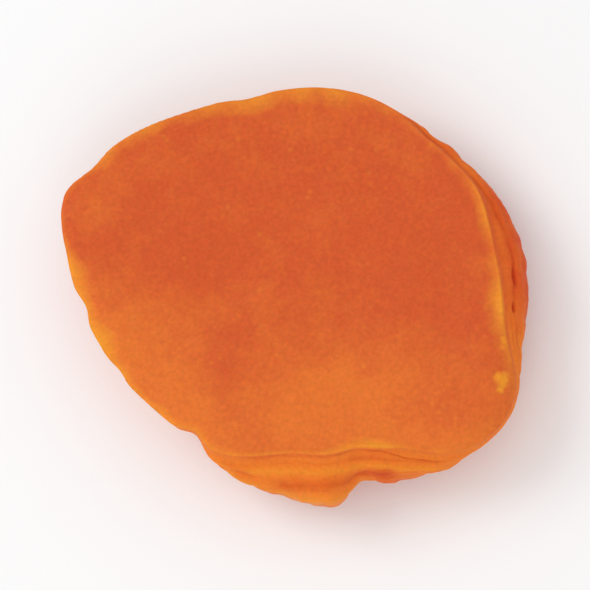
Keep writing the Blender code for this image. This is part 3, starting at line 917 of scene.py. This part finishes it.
class APRICOT_OT_half(Operator):
    """Builds the half: flesh, lip and skin in one piece"""

    bl_idname = "apricot.half"
    bl_label = "Apricot half"

    def execute(self, context):
        scene = context.scene
        mesh = wrinkled_body("wrinkled", scene.apricot_shape)
        values = {label: float(getattr(scene.apricot_relief, key)) for label, key in RELIEF_INPUTS}
        values["Material"] = fruit_material(scene.apricot_colours)
        finished = through_tree(mesh, relief_tree(), values)
        points = read_points(finished)
        points[:, 2] = np.maximum(points[:, 2], 0)
        write_points(finished, points)
        finished.shade_smooth()
        finished.name = "flesh_and_skin"
        half = add_object("flesh_and_skin", finished)
        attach(half, "root")
        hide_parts(NODE)
        return {"FINISHED"}


def look_from(towards, target, distance, upwards):
    """A place and turn for a camera or lamp that looks at target from the side given by towards."""
    back = Vector(towards).normalized()
    up = (Vector(upwards) - back * back.dot(Vector(upwards))).normalized()
    right = up.cross(back)
    turned = Matrix((right, up, back)).transposed().to_4x4()
    turned.translation = Vector(target) + back * distance
    return turned


class APRICOT_OT_stage(Operator):
    """Lays the floor and sets up the lamps, the even light and the camera"""

    bl_idname = "apricot.stage"
    bl_label = "Stage"

    def execute(self, context):
        scene = context.scene
        stage = scene.apricot_stage
        cage = bmesh.new()
        bmesh.ops.create_grid(cage, x_segments=1, y_segments=1, size=FLOOR_SIZE)
        mesh = bpy.data.meshes.new("floor")
        cage.to_mesh(mesh)
        cage.free()
        mesh.materials.append(plain_material("pale_floor", stage.floor, FLOOR_ROUGHNESS))
        add_object("floor", mesh)

        world = bpy.data.worlds.new("even_light")
        world.use_nodes = True
        background = world.node_tree.nodes["Background"]
        background.inputs["Color"].default_value = (1.0, 1.0, 1.0, 1.0)
        background.inputs["Strength"].default_value = stage.world
        scene.world = world

        for name, towards, distance, size, power in LAMPS:
            lamp = bpy.data.lights.new(name, "AREA")
            lamp.size = size
            lamp.energy = getattr(stage, power)
            add_object(name, lamp).matrix_world = look_from(
                towards, (0, 0, 0), distance, (0, 0, 1)
            )

        lens = bpy.data.cameras.new("view")
        lens.lens = LENS
        lens.sensor_width = SENSOR_WIDTH
        lens.clip_start = NEAREST
        camera = add_object("view", lens)
        towards = (math.tan(math.radians(LEAN[0])), -math.tan(math.radians(LEAN[1])), 1)
        distance = VIEW_WIDTH * lens.lens / lens.sensor_width
        camera.matrix_world = look_from(towards, LOOK_AT, distance, (0, 1, 0))
        scene.camera = camera
        scene.view_settings.view_transform = "Standard"
        return {"FINISHED"}


class APRICOT_PT_panel(Panel):
    bl_idname = "APRICOT_PT_panel"
    bl_label = "Dried apricot half"
    bl_space_type = "VIEW_3D"
    bl_region_type = "UI"
    bl_category = "Apricot"

    def draw(self, context):
        layout = self.layout
        for group, operator in (
            ("apricot_shape", None), ("apricot_relief", None), ("apricot_colours", APRICOT_OT_half),
            ("apricot_stage", APRICOT_OT_stage),
        ):
            settings = getattr(context.scene, group)
            box = layout.box()
            for key in settings.__annotations__:
                box.prop(settings, key)
            if operator:
                box.operator(operator.bl_idname)


SETTINGS = (
    ("apricot_shape", ApricotShape), ("apricot_relief", ApricotRelief),
    ("apricot_colours", ApricotColours), ("apricot_stage", ApricotStage),
)
CLASSES = (APRICOT_OT_half, APRICOT_OT_stage, APRICOT_PT_panel)


def register():
    for name, group in SETTINGS:
        bpy.utils.register_class(group)
        setattr(bpy.types.Scene, name, PointerProperty(type=group))
    for item in CLASSES:
        bpy.utils.register_class(item)


def unregister():
    for item in reversed(CLASSES):
        bpy.utils.unregister_class(item)
    for name, group in reversed(SETTINGS):
        delattr(bpy.types.Scene, name)
        bpy.utils.unregister_class(group)


def main():
    register()
    bpy.ops.apricot.half()
    bpy.ops.apricot.stage()


if __name__ == "__main__":
    main()
